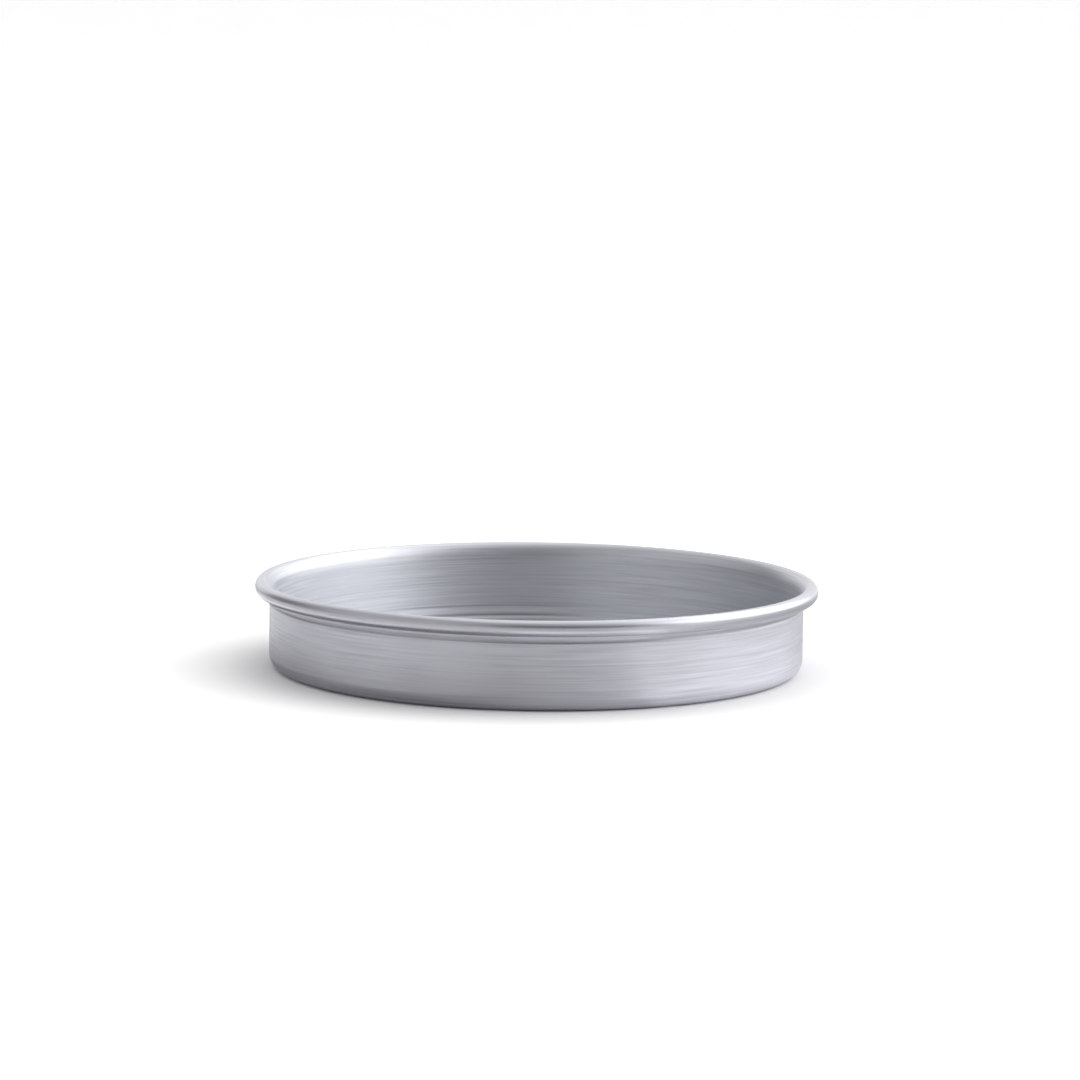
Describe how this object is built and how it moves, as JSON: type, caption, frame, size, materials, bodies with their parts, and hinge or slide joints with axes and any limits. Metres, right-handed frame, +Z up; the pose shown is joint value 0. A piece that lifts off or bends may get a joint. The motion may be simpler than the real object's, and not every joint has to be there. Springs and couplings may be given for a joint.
{
  "type": "deep dish pizza pan",
  "caption": "Round straight-sided aluminium baking pan with a flat floor, rounded floor corner and an outward rolled, wired rim, for deep dish pizza.",
  "frame": {"origin": "middle of the underside, on the pan's axis, where it stands on the table", "axes": "+Z up along the pan's axis, out of its open mouth; +X to the right and -Y towards the viewer of the picture"},
  "size_m": [0.3244, 0.3244, 0.0508],
  "materials": {
    "pan_aluminium": "bare, satin with fine spinning rings",
    "wire_steel": "drawn, uncoated"
  },
  "bodies": {
    "root": {"pan_shell": "pan_aluminium", "rim_wire": "wire_steel"}
  },
  "joints": []
}
